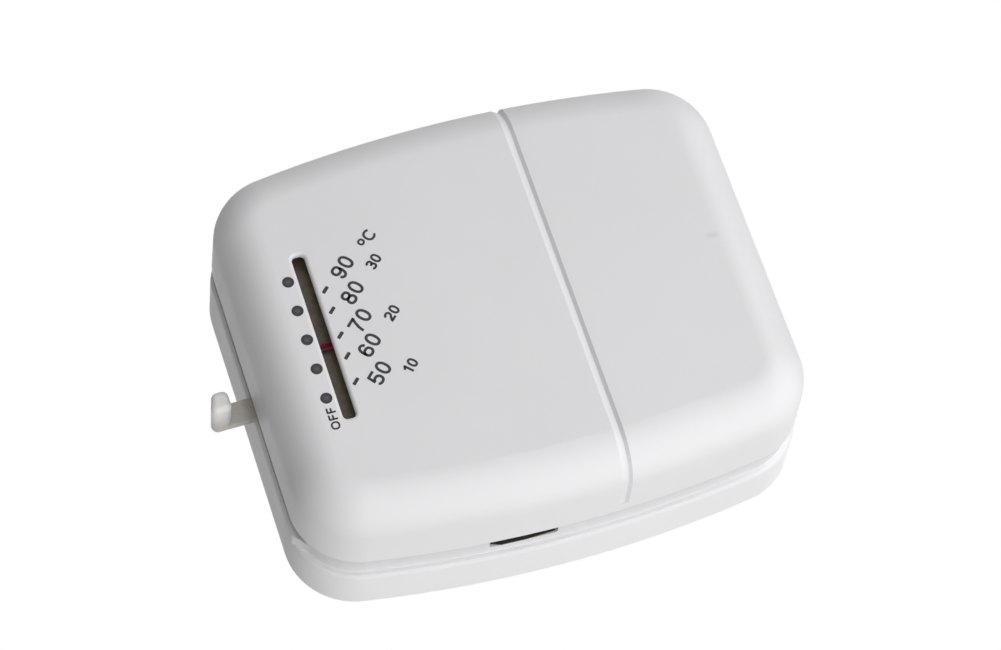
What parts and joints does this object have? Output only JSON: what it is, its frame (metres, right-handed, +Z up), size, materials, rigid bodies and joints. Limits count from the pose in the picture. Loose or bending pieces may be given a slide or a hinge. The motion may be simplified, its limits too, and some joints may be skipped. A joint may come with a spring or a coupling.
{
  "type": "wall thermostat",
  "caption": "Surface-mounted wall thermostat: rounded snap-off cover with a slot thermometer, over a wall base with a side set lever, bimetal switch, anticipator and terminals.",
  "frame": {"origin": "centre of the base's back face, where it lies against the wall", "axes": "+Z up the wall, +Y into the wall, so the face looks along -Y; +X to the right seen from the room"},
  "size_m": [0.1294, 0.0416, 0.0996],
  "materials": {
    "cover_plastic": "satin",
    "base_plastic": "satin",
    "lever_plastic": "satin, slightly translucent",
    "zinc_steel": "zinc plated",
    "screw_steel": "zinc plated",
    "spring_steel": "bright",
    "turned_brass": "turned",
    "sheet_brass": "pressed",
    "bimetal_strip": "rolled",
    "silver_contact": "polished",
    "soft_iron": "plain",
    "magnet": "pressed and sintered",
    "phenolic": "moulded",
    "card_board": "laminated",
    "resistance_wire": "wound",
    "rivet_aluminium": "drawn",
    "dial_paint": "matt",
    "pointer_red": "satin",
    "marking_ink": "pad printed"
  },
  "bodies": {
    "base": {"wall_base": "base_plastic", "mechanism_plate": "zinc_steel", "plate_screws": "screw_steel", "pivot_post": "turned_brass", "friction_washer": "spring_steel", "retaining_ring": "spring_steel", "contact_screw": "turned_brass", "contact_bracket": "sheet_brass", "contact_block": "phenolic", "contact_block_screw": "screw_steel", "contact_magnet": "magnet", "arm_stop_pin": "turned_brass", "off_switch_block": "phenolic", "off_switch_fixed_leaf": "sheet_brass", "off_switch_moving_leaf": "sheet_brass", "anticipator_card": "card_board", "anticipator_winding": "resistance_wire", "anticipator_post": "turned_brass", "terminal_block": "phenolic", "terminal_strips": "sheet_brass", "terminal_screws": "screw_steel"},
    "cover": {"front_cover": "cover_plastic", "dial_plate": "dial_paint", "thermometer_bridge": "sheet_brass", "bridge_rivets": "rivet_aluminium", "thermometer_coil": "bimetal_strip"},
    "lever": {"set_lever": "lever_plastic"},
    "contact_arm": {"bimetal_coil": "bimetal_strip", "moving_contact": "silver_contact", "armature": "soft_iron"},
    "anticipator": {"anticipator_pointer": "sheet_brass"},
    "thermometer": {"thermometer_pointer": "pointer_red", "thermometer_arbor": "turned_brass"}
  },
  "joints": [
    {"name": "cover_pull", "type": "slide", "parent": "base", "child": "cover", "axis": [0, -1, 0], "range_m": [0, 0.045]},
    {"name": "lever_turn", "type": "hinge", "parent": "base", "child": "lever", "pos_m": [-0.01, 0, 0], "axis": [0, 1, 0], "range_deg": [-19.8, 24]},
    {"name": "contact_arm", "type": "hinge", "parent": "base", "child": "contact_arm", "pos_m": [-0.01, 0, 0], "axis": [0, -1, 0], "range_deg": [0, 2.3], "stiffness_Nm_per_rad": 0.01, "springref_deg": -5.73},
    {"name": "anticipator_turn", "type": "hinge", "parent": "base", "child": "anticipator", "pos_m": [0.017, 0, -0.0135], "axis": [0, -1, 0], "range_deg": [-55, 55]},
    {"name": "pointer_turn", "type": "hinge", "parent": "cover", "child": "thermometer", "pos_m": [-0.0142, 0, -0.0009], "axis": [0, 1, 0], "range_deg": [-22.9, 25.1], "stiffness_Nm_per_rad": 0.002}
  ]
}
